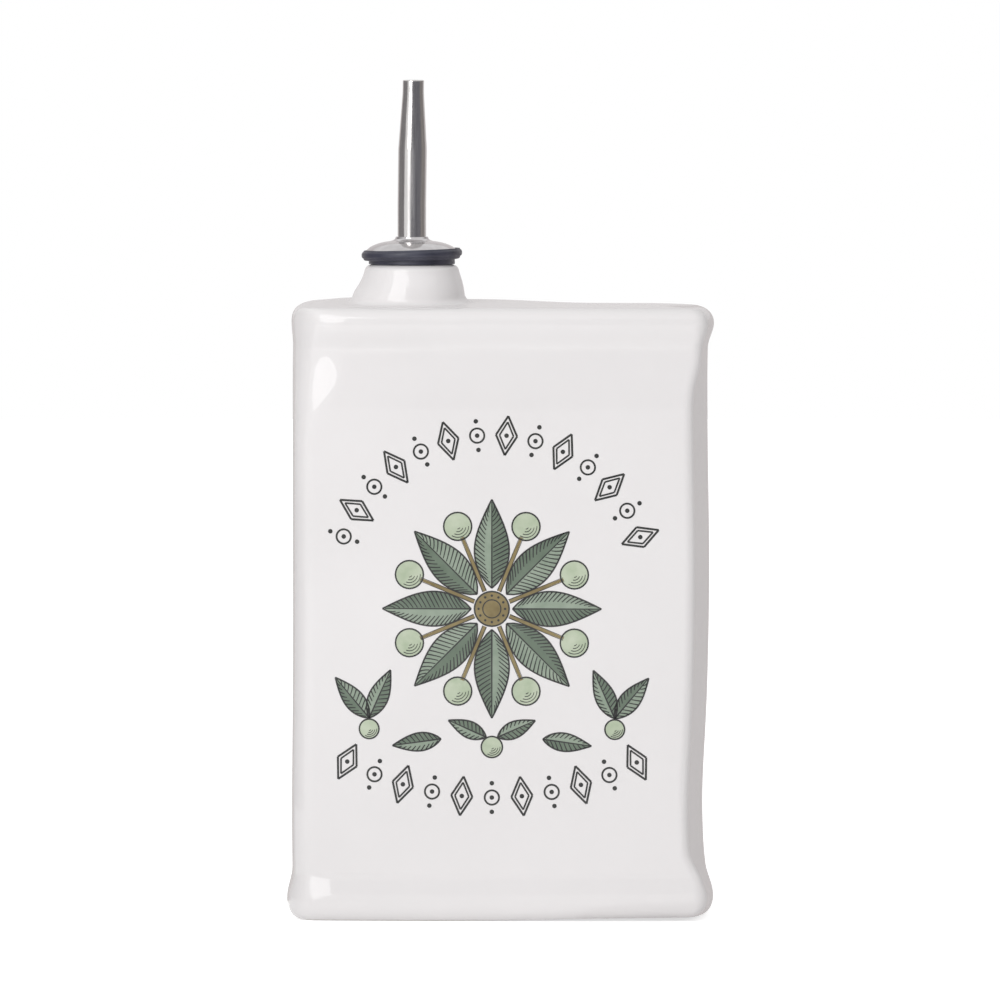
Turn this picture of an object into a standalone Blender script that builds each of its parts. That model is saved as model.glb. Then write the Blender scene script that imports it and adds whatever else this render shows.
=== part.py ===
"""Oil decanter: a slip-cast, glazed bottle in the shape of an oil tin, closed by a push-in steel pourer.

Metres, +Z up. The origin is the middle of the underside. The decorated front faces -Y, and the neck
stands to the left of the middle, on the -X side.
"""

import math

import bmesh
import bpy

MM = 0.001

# Fits: the gap between pieces that touch, how far a cutter runs past what it cuts, and welding
touch_gap = 0.3 * MM
cutter_overrun = 3 * MM
weld_distance = 0.01 * MM

# Bottle: the upright walls, measured outside
panel_width = 110.4 * MM
panel_depth = 50 * MM
body_height = 162.4 * MM
panel_crown = 0.8 * MM
end_crown = 1.2 * MM
panel_corner_radius = 5.8 * MM

# Bottle: the rolled rims at the foot and at the shoulder, which stand out past the walls
rim_corner_radius = 8 * MM
foot_flare = 1.75 * MM
foot_bulge_height = 4.6 * MM
foot_rim_height = 13.4 * MM
foot_edge_radius = 5.4 * MM
shoulder_flare = 1.05 * MM
shoulder_bulge_depth = 4 * MM
shoulder_rim_depth = 11.2 * MM
shoulder_edge_radius = 3.6 * MM

# Bottle: the cast wall, the hollow for the oil and the recess inside the foot ring
wall = 4 * MM
cavity_corner_radius = 3 * MM
cavity_edge_radius = 4 * MM
foot_ring_width = 7 * MM
base_recess = 0.8 * MM

# Bottle: the neck, from its mouth outwards and down
neck_offset = 23.6 * MM
neck_height = 10.7 * MM
mouth_diameter = 17.5 * MM
mouth_lip_radius = 1 * MM
neck_lip_width = 3.9 * MM
neck_lip_radius = 1.2 * MM
neck_taper = 2.15 * MM
neck_fillet = 2.6 * MM
neck_fillet_sink = 0.15 * MM
neck_root_depth = 2 * MM

# Pourer: the steel spout tube, which runs down through the stopper and is flared below it
tube_diameter = 7.9 * MM
tube_wall = 0.4 * MM
spout_rise = 49.4 * MM
tip_drawdown = 1 * MM
tip_edge_radius = 0.2 * MM
tip_straight = 4 * MM
taper_length = 12.8 * MM
tail_lip_width = 1.5 * MM
tail_lip_thickness = 0.6 * MM

# Pourer: the rubber stopper, with its plug, its fins, its seat and its flange
plug_length = 17 * MM
plug_wall = 1.9 * MM
plug_end_chamfer = 1.2 * MM
fin_margin = 2.6 * MM
fin_root_thickness = 1.6 * MM
fin_edge_thickness = 0.7 * MM
seat_overlap = 3.3 * MM
seat_thickness = 1.4 * MM
flange_overhang = 1.4 * MM
flange_thickness = 2.8 * MM
flange_edge_radius = 1.35 * MM
flange_lip_width = 1.0 * MM
flange_recess_depth = 0.9 * MM

# Pourer: the pressed steel dome that lies in the flange's recess
dome_thickness = 0.4 * MM
dome_rise = 2.4 * MM
dome_roundness = 2.4
collar_height = 0.8 * MM
collar_fillet = 0.7 * MM

# Pourer: the breather tube, which lets air in behind the oil as it pours
breather_diameter = 2.4 * MM
breather_wall = 0.45 * MM
air_hole_rise = 3.4 * MM
breather_tail = 26 * MM

# Counts of fins and of the steps that round shapes are divided into
FIN_COUNT = 4
CORNER_STEPS = 5
CROWN_STEPS = 6
END_STEPS = 4
EDGE_STEPS = 5
BLEND_STEPS = 6
ARC_STEPS = 4
BEND_STEPS = 5
NECK_STEPS = 48
POURER_STEPS = 32
SHARP_ANGLE = 35

# Radii that follow from those sizes, from the mouth of the neck outwards
mouth_radius = mouth_diameter / 2
neck_rim_radius = mouth_radius + neck_lip_width
neck_root_radius = neck_rim_radius + neck_taper
seat_radius = mouth_radius + seat_overlap
flange_radius = seat_radius + flange_overhang
recess_radius = flange_radius - flange_lip_width
dome_radius = recess_radius - touch_gap
tube_radius = tube_diameter / 2
tube_bore_radius = tube_radius - tube_wall
sleeve_radius = tube_radius + touch_gap
plug_radius = sleeve_radius + plug_wall
fin_radius = mouth_radius - touch_gap
breather_offset = tube_bore_radius - touch_gap - breather_diameter / 2

# Heights of the pourer's pieces above the rim of the neck, each lying on the one below it
seat_underside = touch_gap
flange_underside = seat_underside + seat_thickness
flange_top = flange_underside + flange_thickness
recess_floor = flange_top - flange_recess_depth
dome_underside = recess_floor + touch_gap
dome_edge_top = dome_underside + dome_thickness
dome_crest = dome_edge_top + dome_rise
collar_top = dome_crest + collar_height
air_hole_height = collar_top + air_hole_rise
tail_lip_top = -plug_length - touch_gap
tail_end = tail_lip_top - tail_lip_thickness
breather_end = tail_end - breather_tail


def clear_scene():
    for old in list(bpy.data.objects):
        bpy.data.objects.remove(old)


def new_collection(name):
    made = bpy.data.collections.new(name)
    bpy.context.scene.collection.children.link(made)
    return made


def new_material(name, colour, roughness, metallic):
    made = bpy.data.materials.new(name)
    made.use_nodes = True
    shader = made.node_tree.nodes["Principled BSDF"]
    shader.inputs["Base Color"].default_value = (*colour, 1)
    shader.inputs["Roughness"].default_value = roughness
    shader.inputs["Metallic"].default_value = metallic
    return made


def add_object(name, data, collection, material=None, parent=None):
    made = bpy.data.objects.new(name, data)
    collection.objects.link(made)
    if material:
        data.materials.append(material)
    made.parent = parent
    return made


def add_axis(name, place, collection, parent=None):
    """An empty on a joint's axis, which carries the pieces that move with that joint."""
    made = add_object(name, None, collection, parent=parent)
    made.location = place
    return made


def arc(centre, radius, start, end, steps):
    """Points along an arc of a circle, from one angle to another in degrees, both ends included."""
    angles = [math.radians(start + (end - start) * i / steps) for i in range(steps + 1)]
    return [(centre[0] + radius * math.cos(a), centre[1] + radius * math.sin(a)) for a in angles]


def mesh_of_levels(name, levels):
    """A closed skin lofted through level outlines: levels is a list of (height, outline points)."""
    shape = bmesh.new()
    rings = [[shape.verts.new((x, y, height)) for x, y in points] for height, points in levels]
    count = len(rings[0])
    for lower, upper in zip(rings, rings[1:]):
        for i in range(count):
            after = (i + 1) % count
            shape.faces.new((lower[i], lower[after], upper[after], upper[i]))
    shape.faces.new(reversed(rings[0]))
    shape.faces.new(rings[-1])
    mesh = bpy.data.meshes.new(name)
    shape.to_mesh(mesh)
    shape.free()
    mesh.shade_smooth()
    mesh.set_sharp_from_angle(angle=math.radians(SHARP_ANGLE))
    return mesh


def add_turned(name, profile, collection, ring, steps, material=None, parent=None):
    """Turns a profile of (radius, height) points about Z. A ring's profile closes on itself, and another
    one starts and ends on the axis. Both run down their outer side."""
    mesh = bpy.data.meshes.new(name)
    edges = [(i, i + 1) for i in range(len(profile) - 1)]
    if ring:
        edges.append((len(profile) - 1, 0))
    mesh.from_pydata([(radius, 0, height) for radius, height in profile], edges, [])
    made = add_object(name, mesh, collection, material, parent)
    turn = made.modifiers.new("turn", "SCREW")
    turn.axis = "Z"
    turn.angle = math.radians(360)
    turn.steps = steps
    turn.render_steps = steps
    turn.use_merge_vertices = True
    turn.merge_threshold = weld_distance
    turn.use_smooth_shade = True
    return made


def add_rod(name, points, diameter, collection, material=None, parent=None):
    """A round rod along a line of points, as a closed mesh."""
    line = bpy.data.curves.new(name, "CURVE")
    line.dimensions = "3D"
    line.bevel_depth = diameter / 2
    line.bevel_resolution = 2
    line.use_fill_caps = True
    spline = line.splines.new("POLY")
    spline.points.add(len(points) - 1)
    for point, place in zip(spline.points, points):
        point.co = (*place, 1)
    curve = add_object(name + "_line", line, collection)
    evaluated = curve.evaluated_get(bpy.context.evaluated_depsgraph_get())
    mesh = bpy.data.meshes.new_from_object(evaluated)
    shape = bmesh.new()
    shape.from_mesh(mesh)
    bmesh.ops.remove_doubles(shape, verts=shape.verts, dist=weld_distance)
    shape.to_mesh(mesh)
    shape.free()
    made = add_object(name, mesh, collection, material, parent)
    bpy.data.objects.remove(curve)
    return made


def as_cutter(form):
    form.hide_render = True
    form.display_type = "WIRE"
    return form


def add_boolean(piece, form, operation):
    change = piece.modifiers.new(f"{operation.lower()} {form.name}", "BOOLEAN")
    change.operation = operation
    change.object = form
    change.solver = "EXACT"


def outline(reach, corner_radius):
    """One level of the bottle from above, standing out past the walls by reach: four slightly crowned
    sides with round corners between them."""
    flat_x = panel_width / 2 + reach - end_crown - corner_radius
    flat_y = panel_depth / 2 + reach - panel_crown - corner_radius
    points = []
    for quarter, (side_x, side_y) in enumerate(((1, 1), (-1, 1), (-1, -1), (1, -1))):
        centre = (side_x * flat_x, side_y * flat_y)
        points += arc(centre, corner_radius, 90 * quarter, 90 * (quarter + 1), CORNER_STEPS)
        steps = CROWN_STEPS if side_x == side_y else END_STEPS
        for i in range(1, steps):
            along = 1 - 2 * i / steps
            share = 1 - along * along
            if side_x == side_y:
                points.append((side_x * along * flat_x, side_y * (flat_y + corner_radius + panel_crown * share)))
            else:
                points.append((side_x * (flat_x + corner_radius + end_crown * share), side_y * along * flat_y))
    return points


def rim_levels(end, inwards, bulge_height, rim_height, flare, edge_radius):
    """A rolled rim, from the bottle's flat end to the plain wall: round its edge to where it stands out
    most, then back in along an S curve."""
    levels = []
    for i in range(EDGE_STEPS + 1):
        angle = math.radians(90 * i / EDGE_STEPS)
        inset = edge_radius * (1 - math.sin(angle))
        height = bulge_height * (1 - math.cos(angle))
        levels.append((end + inwards * height, outline(flare - inset, rim_corner_radius - inset)))
    for i in range(1, BLEND_STEPS + 1):
        share = i / BLEND_STEPS
        rim_share = (1 + math.cos(math.pi * share)) / 2
        height = bulge_height + share * (rim_height - bulge_height)
        corner_radius = panel_corner_radius + rim_share * (rim_corner_radius - panel_corner_radius)
        levels.append((end + inwards * height, outline(flare * rim_share, corner_radius)))
    return levels


def body_levels():
    foot = rim_levels(0, 1, foot_bulge_height, foot_rim_height, foot_flare, foot_edge_radius)
    shoulder = rim_levels(
        body_height, -1, shoulder_bulge_depth, shoulder_rim_depth, shoulder_flare, shoulder_edge_radius
    )
    return foot + shoulder[::-1]


def cavity_levels():
    """The hollow for the oil, one wall inside the upright panels, with rounded lower and upper edges."""
    lower = []
    upper = []
    for i in range(EDGE_STEPS + 1):
        angle = math.radians(90 * i / EDGE_STEPS)
        inset = cavity_edge_radius * (1 - math.sin(angle))
        rise = cavity_edge_radius * (1 - math.cos(angle))
        shape = outline(-wall - inset, cavity_corner_radius)
        lower.append((base_recess + wall + rise, shape))
        upper.append((body_height - wall - rise, shape))
    return lower + upper[::-1]


def recess_levels():
    """The shallow hollow under the base, inside the foot ring."""
    shape = outline(foot_flare - foot_edge_radius - foot_ring_width, cavity_corner_radius)
    return [(-cutter_overrun, shape), (base_recess, shape)]


def neck_profile():
    """The neck's outside, from the middle of its rim down to a root set into the shoulder."""
    rim_height = body_height + neck_height
    lip = (neck_rim_radius - neck_lip_radius, rim_height - neck_lip_radius)
    fillet = (neck_root_radius + neck_fillet, body_height - neck_fillet_sink + neck_fillet)
    points = [(0, rim_height)]
    points += arc(lip, neck_lip_radius, 90, 0, ARC_STEPS)
    points += arc(fillet, neck_fillet, 180, 270, ARC_STEPS)
    points += [(fillet[0], body_height - neck_root_depth), (0, body_height - neck_root_depth)]
    return points


def mouth_profile():
    """The neck's bore, rounded where it opens at the rim, down into the hollow."""
    rim_height = body_height + neck_height
    lip = (mouth_radius + mouth_lip_radius, rim_height - mouth_lip_radius)
    points = [(0, rim_height + cutter_overrun), (lip[0], rim_height + cutter_overrun)]
    points += arc(lip, mouth_lip_radius, 90, 180, ARC_STEPS)
    bore_end = body_height - wall - cutter_overrun
    points += [(mouth_radius, bore_end), (0, bore_end)]
    return points


def build_bottle(collection, cutters, material):
    bottle = add_object("bottle", mesh_of_levels("bottle", body_levels()), collection, material)
    neck = as_cutter(add_turned("neck_form", neck_profile(), cutters, False, NECK_STEPS))
    cavity = as_cutter(add_object("cavity_form", mesh_of_levels("cavity_form", cavity_levels()), cutters))
    mouth = as_cutter(add_turned("mouth_form", mouth_profile(), cutters, False, NECK_STEPS))
    recess = as_cutter(add_object("recess_form", mesh_of_levels("recess_form", recess_levels()), cutters))
    neck.location.x = -neck_offset
    mouth.location.x = -neck_offset
    add_boolean(bottle, neck, "UNION")
    add_boolean(bottle, cavity, "DIFFERENCE")
    add_boolean(bottle, mouth, "DIFFERENCE")
    add_boolean(bottle, recess, "DIFFERENCE")


def fin_points():
    """The fins down the plug, evenly spaced: each tapers from its root to its edge in the bore."""
    first = -fin_margin
    last = -(plug_length - plug_end_chamfer - fin_margin)
    points = []
    for i in range(FIN_COUNT):
        middle = first + (last - first) * i / (FIN_COUNT - 1)
        points += [
            (plug_radius, middle + fin_root_thickness / 2),
            (fin_radius, middle + fin_edge_thickness / 2),
            (fin_radius, middle - fin_edge_thickness / 2),
            (plug_radius, middle - fin_root_thickness / 2),
        ]
    return points


def stopper_profile():
    """The rubber moulding, from the recess in its flange round the edge, down the plug and up the bore."""
    edge = flange_radius - flange_edge_radius
    points = [(sleeve_radius, recess_floor), (recess_radius, recess_floor), (recess_radius, flange_top)]
    points += arc((edge, flange_top - flange_edge_radius), flange_edge_radius, 90, 0, ARC_STEPS)
    points += arc((edge, flange_underside + flange_edge_radius), flange_edge_radius, 0, -90, ARC_STEPS)
    points += [(seat_radius, flange_underside), (seat_radius, seat_underside), (plug_radius, seat_underside)]
    points += fin_points()
    points += [(plug_radius, plug_end_chamfer - plug_length), (plug_radius - plug_end_chamfer, -plug_length)]
    points.append((sleeve_radius, -plug_length))
    return points


def tube_profile():
    """The spout tube: straight at the tip, a taper, the straight tube, and the lip flared out under the
    plug, which holds the stopper on."""
    tip = tube_radius - tip_drawdown
    taper_top = spout_rise - tip_straight
    taper_bottom = taper_top - taper_length
    outside = [(tip - tip_edge_radius, spout_rise), (tip, spout_rise - tip_edge_radius), (tip, taper_top)]
    outside += [(tube_radius, taper_bottom), (tube_radius, tail_lip_top)]
    outside += [(tube_radius + tail_lip_width, tail_lip_top), (tube_radius + tail_lip_width, tail_end)]
    bore = [(tube_bore_radius, tail_end), (tube_bore_radius, taper_bottom)]
    bore += [(tip - tube_wall, taper_top), (tip - tube_wall, spout_rise)]
    return outside + bore


def crown_points(inner, outer, height):
    """The dome's crown from its crest outwards: nearly level at first and steepest at its edge."""
    points = []
    for i in range(1, ARC_STEPS + 2):
        share = i / (ARC_STEPS + 1)
        points.append((inner + (outer - inner) * share, height - dome_rise * share**dome_roundness))
    return points


def dome_profile():
    """The dome in even sheet: down from its collar, over the crown to its edge, and back underneath."""
    collar = sleeve_radius + dome_thickness
    fillet = (collar + collar_fillet, dome_crest + collar_fillet)
    outside = [(collar, collar_top)]
    outside += arc(fillet, collar_fillet, 180, 270, ARC_STEPS)
    outside += crown_points(fillet[0], dome_radius, dome_crest)
    outside.append((dome_radius, dome_underside))
    inside = [(sleeve_radius, dome_crest - dome_thickness)]
    inside += crown_points(collar, dome_radius - dome_thickness, dome_crest - dome_thickness)
    return outside + inside[::-1] + [(sleeve_radius, collar_top)]


def breather_points():
    """The breather's middle line: from the air hole in the back of the spout, round a bend, and down
    beside the bore's wall to its lower end."""
    bend_radius = tube_radius - breather_offset
    bend = arc((tube_radius, air_hole_height - bend_radius), bend_radius, 90, 180, BEND_STEPS)
    return [(0, across, height) for across, height in bend] + [(0, breather_offset, breather_end)]


def past_both_ends(points):
    """The breather's line for a cutter: it starts further out and ends further down."""
    start = (0, points[0][1] + cutter_overrun, points[0][2])
    end = (0, points[-1][1], points[-1][2] - cutter_overrun)
    return [start] + points + [end]


def build_pourer(collection, cutters, rubber, satin_steel, polished_steel):
    rim = (-neck_offset, 0, body_height + neck_height)
    lift_axis = add_axis("pourer_lift_axis", rim, collection)
    turn_axis = add_axis("spout_turn_axis", (0, 0, 0), collection, lift_axis)
    add_turned("stopper", stopper_profile(), collection, True, POURER_STEPS, rubber, lift_axis)
    add_turned("spout_dome", dome_profile(), collection, True, POURER_STEPS, polished_steel, turn_axis)
    tube = add_turned("spout_tube", tube_profile(), collection, True, POURER_STEPS, satin_steel, turn_axis)
    line = breather_points()
    breather = add_rod("breather_tube", line, breather_diameter, collection, satin_steel, turn_axis)

    hole_line = [(0, 0, air_hole_height), (0, tube_radius + cutter_overrun, air_hole_height)]
    hole_diameter = breather_diameter + 2 * touch_gap
    air_hole = as_cutter(add_rod("air_hole_form", hole_line, hole_diameter, cutters, parent=turn_axis))
    add_boolean(tube, air_hole, "DIFFERENCE")
    bore_diameter = breather_diameter - 2 * breather_wall
    bore_line = past_both_ends(line)
    bore = as_cutter(add_rod("breather_bore_form", bore_line, bore_diameter, cutters, parent=turn_axis))
    add_boolean(breather, bore, "DIFFERENCE")


def main():
    clear_scene()
    decanter = new_collection("oil decanter")
    cutters = new_collection("cutters")
    white_glaze = new_material("white_glaze", (0.82, 0.80, 0.79), 0.12, 0)
    black_rubber = new_material("black_rubber", (0.05, 0.055, 0.075), 0.5, 0)
    satin_steel = new_material("satin_steel", (0.5, 0.49, 0.49), 0.3, 1)
    polished_steel = new_material("polished_steel", (0.62, 0.61, 0.61), 0.12, 1)
    build_bottle(decanter, cutters, white_glaze)
    build_pourer(decanter, cutters, black_rubber, satin_steel, polished_steel)


main()
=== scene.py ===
# %% [markdown]
# # Oil decanter
# The decanter is a slip-cast bottle in the shape of an oil tin, glazed white, with a round neck to the left
# of its middle. A push-in pourer closes it: a satin steel spout in a rubber stopper, under a small polished
# dome, with a thin breather tube down its back.
#
# The imported CAD model comes first, because every piece here has to sit where it says. The size of each of
# its parts is printed.

import math

import bmesh
import bpy
from mathutils import Matrix, Vector
from mathutils.bvhtree import BVHTree


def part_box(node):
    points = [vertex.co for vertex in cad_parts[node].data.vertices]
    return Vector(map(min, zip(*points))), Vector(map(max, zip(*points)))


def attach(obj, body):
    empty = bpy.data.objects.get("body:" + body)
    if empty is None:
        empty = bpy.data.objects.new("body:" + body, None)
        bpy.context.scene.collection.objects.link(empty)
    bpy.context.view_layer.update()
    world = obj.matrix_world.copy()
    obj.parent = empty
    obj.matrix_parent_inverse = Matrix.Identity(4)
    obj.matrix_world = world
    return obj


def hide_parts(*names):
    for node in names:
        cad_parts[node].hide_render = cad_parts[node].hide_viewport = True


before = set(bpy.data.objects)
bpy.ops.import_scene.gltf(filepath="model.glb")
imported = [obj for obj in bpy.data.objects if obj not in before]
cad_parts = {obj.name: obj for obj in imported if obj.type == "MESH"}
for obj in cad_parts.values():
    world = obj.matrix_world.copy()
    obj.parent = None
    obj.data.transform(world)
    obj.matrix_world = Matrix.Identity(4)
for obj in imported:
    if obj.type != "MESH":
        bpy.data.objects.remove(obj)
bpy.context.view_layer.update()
MM = 0.001
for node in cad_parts:
    low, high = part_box(node)
    print(node, "is", [round((b - a) / MM, 1) for a, b in zip(low, high)], "mm")

# %% [markdown]
# ## Finishes
# Each finish is one material that works out its colour, gloss and fine relief from where a point lies on
# the object, so it needs no pictures. Four small helpers start a material, add noise to it, turn the noise
# into colours or greys, and turn it into relief, because every finish here needs them.

# %% Helpers for materials
def new_finish(name, **sockets):
    """A material with the given values set on its shader. Returns the material, its nodes and its shader."""
    finish = bpy.data.materials.new(name)
    finish.use_nodes = True
    nodes = finish.node_tree.nodes
    shader = nodes["Principled BSDF"]
    for socket, value in sockets.items():
        shader.inputs[socket.replace("_", " ")].default_value = value
    return finish, nodes, shader


def add_noise(finish, scale, detail=3, stretch=(1, 1, 1)):
    """Noise on Object coordinates, at so many lumps per metre, stretched along an axis where asked."""
    nodes, links = finish.node_tree.nodes, finish.node_tree.links
    place = nodes.new("ShaderNodeTexCoord")
    mapping = nodes.new("ShaderNodeMapping")
    mapping.inputs["Scale"].default_value = stretch
    noise = nodes.new("ShaderNodeTexNoise")
    noise.inputs["Scale"].default_value = scale
    noise.inputs["Detail"].default_value = detail
    links.new(place.outputs["Object"], mapping.inputs["Vector"])
    links.new(mapping.outputs["Vector"], noise.inputs["Vector"])
    return noise.outputs["Fac"]


def add_ramp(finish, value, low, high, start=0.3, end=0.7):
    """Turns a value into a colour, or a grey, between two ends."""
    ramp = finish.node_tree.nodes.new("ShaderNodeValToRGB")
    for stop, place, tone in zip(ramp.color_ramp.elements, (start, end), (low, high)):
        stop.position = place
        stop.color = (*tone, 1) if isinstance(tone, tuple) else (tone, tone, tone, 1)
    finish.node_tree.links.new(value, ramp.inputs["Fac"])
    return ramp.outputs["Color"]


def add_relief(finish, shader, value, height):
    """Fine relief from a value, as deep as height in metres."""
    bump = finish.node_tree.nodes.new("ShaderNodeBump")
    bump.inputs["Distance"].default_value = height
    finish.node_tree.links.new(value, bump.inputs["Height"])
    finish.node_tree.links.new(bump.outputs["Normal"], shader.inputs["Normal"])

# %% [markdown]
# White glaze is a thin layer of glass over a pale clay body. The body scatters light, and the glass over it
# gives the sharp reflections, so the base is matt and the clear coat carries the gloss. Its colour is
# nearly even, with faint cloudy patches where the glaze lies thicker, and a glazed surface is never quite
# flat, so a very shallow relief lets the reflections waver. The foot ring is wiped clean before firing,
# and shows the bare clay.

# %% White glaze
CLAY_TOP = 0.12 * MM
GLAZE_PALE = (0.845, 0.822, 0.824)
GLAZE_THICK = (0.818, 0.796, 0.797)
BARE_CLAY = (0.72, 0.68, 0.62)
GLAZE_WAVES, GLAZE_WAVE_HEIGHT = 70, 0.05 * MM
GLOSS = {"Coat_Weight": 0.7, "Coat_Roughness": 0.035}
BASE_SHINE = 0.1

white_glaze, nodes, shader = new_finish("white_glaze", IOR=1.5, **GLOSS)
shader.inputs["Specular IOR Level"].default_value = BASE_SHINE
links = white_glaze.node_tree.links
clouds = add_ramp(white_glaze, add_noise(white_glaze, scale=22, detail=4), GLAZE_THICK, GLAZE_PALE)
place = nodes.new("ShaderNodeTexCoord")
height = nodes.new("ShaderNodeSeparateXYZ")
links.new(place.outputs["Object"], height.inputs["Vector"])
is_clay = nodes.new("ShaderNodeMapRange")
for socket, value in (("From Min", CLAY_TOP), ("From Max", 3 * CLAY_TOP), ("To Min", 1), ("To Max", 0)):
    is_clay.inputs[socket].default_value = value
links.new(height.outputs["Z"], is_clay.inputs["Value"])
body_colour = nodes.new("ShaderNodeMix")
body_colour.data_type = "RGBA"
links.new(is_clay.outputs["Result"], body_colour.inputs["Factor"])
links.new(clouds, body_colour.inputs[6])
body_colour.inputs[7].default_value = (*BARE_CLAY, 1)
links.new(body_colour.outputs[2], shader.inputs["Base Color"])
matt = add_ramp(white_glaze, add_noise(white_glaze, scale=300, detail=2), 0.42, 0.5)
links.new(matt, shader.inputs["Roughness"])
add_relief(white_glaze, shader, add_noise(white_glaze, GLAZE_WAVES, detail=2), GLAZE_WAVE_HEIGHT)
print("white_glaze has", len(nodes), "nodes")

# %% [markdown]
# The rubber of the stopper is soft and satin: nearly black with a blue cast, a little greyer where dust
# and handling have dulled it, with the fine grain of its mould. The steel of the spout was drawn and then
# brushed along its length, so its grain is noise stretched along Z, and so are its streaks of gloss. The
# dome is the same steel polished, with only faint marks. All three are made alike: a colour, a roughness
# and a relief, each from noise of its own.

# %% Rubber and steel
def new_plain_finish(name, colours, roughness, grain, stretch=(1, 1, 1), **sockets):
    """A finish from three noises. Each is its scale and detail, with the two ends or the height it gives."""
    finish, nodes, shader = new_finish(name, **sockets)
    links = finish.node_tree.links
    for socket, (scale, detail, low, high) in (("Base Color", colours), ("Roughness", roughness)):
        noise = add_noise(finish, scale, detail, stretch)
        links.new(add_ramp(finish, noise, low, high), shader.inputs[socket])
    scale, detail, height = grain
    add_relief(finish, shader, add_noise(finish, scale, detail, stretch), height)
    return finish


BRUSHED_ALONG = (1, 1, 0.02)
black_rubber = new_plain_finish(
    "black_rubber", IOR=1.5,
    colours=(160, 5, (0.025, 0.026, 0.044), (0.055, 0.056, 0.082)),
    roughness=(900, 3, 0.33, 0.48),
    grain=(2600, 2, 0.02 * MM),
)
satin_steel = new_plain_finish(
    "satin_steel", Metallic=1.0, stretch=BRUSHED_ALONG,
    colours=(2400, 4, (0.54, 0.525, 0.52), (0.67, 0.655, 0.645)),
    roughness=(1700, 3, 0.14, 0.23),
    grain=(3200, 2, 0.004 * MM),
)
polished_steel = new_plain_finish(
    "polished_steel", Metallic=1.0,
    colours=(500, 3, (0.50, 0.485, 0.49), (0.58, 0.565, 0.57)),
    roughness=(1200, 3, 0.10, 0.17),
    grain=(900, 2, 0.004 * MM),
)
print("finishes:", [m.name for m in bpy.data.materials if m.use_nodes])

# %% [markdown]
# ## The bottle
# The bottle is slip-cast in one piece: a box with gently crowned faces, rolled rims at its foot and its
# shoulder, and a conical neck. It could be a box with bevels, but the rims need their own section all the
# way round, and the round neck has to grow out of the flat top. So it is built as a caster sees it, level
# by level: one ring of points is extruded from the recess under the foot, up the outside, over the lip
# and down the inside, and each new ring is moved to its level's outline. Each point keeps its place in the
# ring, so it always knows which corner or side it belongs to. The right front corner of this bottle came
# out of its mould crisper than the other three, so each corner has its own share of the rounding.

# %% The bottle's sizes
panel_width, panel_depth, body_height = 110.4 * MM, 50 * MM, 162.4 * MM
panel_crown, end_crown, panel_corner, rim_corner = 0.8 * MM, 1.2 * MM, 5.8 * MM, 8 * MM
wall, hollow_corner, hollow_edge = 4 * MM, 3 * MM, 4 * MM
recess_depth, foot_ring_width = 0.8 * MM, 7 * MM
neck_x, rim_height = -23.6 * MM, 173.1 * MM
mouth_radius, neck_rim_radius, neck_root_radius = 8.75 * MM, 12.65 * MM, 14.8 * MM
fillet = 2.6 * MM
lip, mouth_lip, lip_height = 2 * MM, 1 * MM, rim_height + 0.25 * MM

# %% The ring of points
CORNER_STEPS, FRONT_STEPS, END_STEPS = 8, 20, 8
QUARTERS = ((1, 1), (-1, 1), (-1, -1), (1, -1))
CORNER_SHARES = (1, 1, 1, 0.42)
ring_places = []
for quarter in range(4):
    ring_places += [("corner", quarter, step / CORNER_STEPS) for step in range(CORNER_STEPS + 1)]
    side_steps = FRONT_STEPS if quarter % 2 == 0 else END_STEPS
    ring_places += [("side", quarter, step / side_steps) for step in range(1, side_steps)]
RING_COUNT = len(ring_places)


def on_outline(place, reach, corner):
    """A place of the ring on the outline that stands out past the walls by reach."""
    kind, quarter, share = ring_places[place]
    side_x, side_y = QUARTERS[quarter]
    along = (1 - 2 * share + math.cos(math.pi * share)) / 2
    nearest = quarter if kind == "corner" or along > 0 else (quarter + 1) % 4
    corner *= CORNER_SHARES[nearest]
    flat_x = panel_width / 2 + reach - end_crown - corner
    flat_y = panel_depth / 2 + reach - panel_crown - corner
    if kind == "corner":
        angle = math.radians(90 * (quarter + share))
        arc = corner * Vector((math.cos(angle), math.sin(angle)))
        return Vector((side_x * flat_x, side_y * flat_y)) + arc
    bulge = 1 - along * along
    if quarter % 2 == 0:
        return Vector((side_x * along * flat_x, side_y * (flat_y + corner + panel_crown * bulge)))
    return Vector((side_x * (flat_x + corner + end_crown * bulge), side_y * along * flat_y))


def on_circle(place, radius):
    """The same place on a circle round the neck's axis. The middle of the right-hand end is at angle 0."""
    angle = 2 * math.pi * (place + END_STEPS / 2) / RING_COUNT
    return Vector((neck_x + radius * math.cos(angle), radius * math.sin(angle)))


print("the ring has", RING_COUNT, "points")

# %% [markdown]
# A level is its height, how far its outline stands out past the walls, its corners' radius, and, towards
# the neck, how far it has turned from that outline into a circle, and the circle's radius. The rims'
# rounding and S curve are worked out from the rim's own sizes, so that both rims share one piece of code.

# %% The rims, the wall and the foot
ROUND_STEPS, BLEND_STEPS, WALL_STEPS = 6, 10, 34


def rim_section(end, inwards, bulge, depth, flare, edge):
    """Levels of a rolled rim, from the bottle's flat end to its plain wall."""
    levels = []
    for i in range(ROUND_STEPS + 1):
        angle = math.radians(90 * i / ROUND_STEPS)
        inset = edge * (1 - math.sin(angle))
        levels.append((end + inwards * bulge * (1 - math.cos(angle)), flare - inset, rim_corner - inset))
    for i in range(1, BLEND_STEPS + 1):
        share = i / BLEND_STEPS
        rim_share = (1 + math.cos(math.pi * share)) / 2
        corner = panel_corner + rim_share * (rim_corner - panel_corner)
        levels.append((end + inwards * (bulge + share * (depth - bulge)), flare * rim_share, corner))
    return levels


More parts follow.
